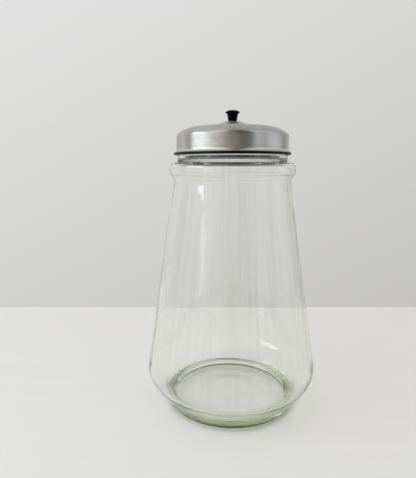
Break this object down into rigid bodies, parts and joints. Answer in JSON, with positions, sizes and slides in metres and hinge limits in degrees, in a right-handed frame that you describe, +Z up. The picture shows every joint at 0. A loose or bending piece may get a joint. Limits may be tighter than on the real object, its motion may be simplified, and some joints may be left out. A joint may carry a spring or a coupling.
{
  "type": "lidded glass canister",
  "caption": "Tapered storage jar of clear glass with a moulded foot and rolled shoulder, and a lift-off aluminium lid with a small black knob.",
  "frame": {"origin": "centre of the foot's resting face, on the jar's axis", "axes": "+Z up along the jar's axis, the way the lid lifts off; -Y towards the front and +X to the right, both free because the object is round"},
  "size_m": [0.166, 0.166, 0.2848],
  "materials": {
    "glass": "clear, smooth and slightly wavy, with a faint green tint in the thick foot",
    "ring_rubber": "matt",
    "lid_sheet": "turned and brushed round the axis, dulled with age",
    "knob_plastic": "moulded, glossy",
    "insert_brass": "turned",
    "screw_steel": "plain"
  },
  "bodies": {
    "jar": {"glass_jar": "glass"},
    "seal": {"sealing_ring": "ring_rubber"},
    "lid": {"lid_shell": "lid_sheet", "knob": "knob_plastic", "knob_insert": "insert_brass", "knob_screw": "screw_steel", "flat_washer": "screw_steel", "spring_washer": "screw_steel"}
  },
  "joints": [
    {"name": "lid_turn", "type": "hinge", "parent": "jar", "child": "seal", "pos_m": [0, 0, 0.259], "axis": [0, 0, 1], "continuous": true},
    {"name": "lid_lift", "type": "slide", "parent": "seal", "child": "lid", "axis": [0, 0, 1], "range_m": [0, 0.1]}
  ]
}
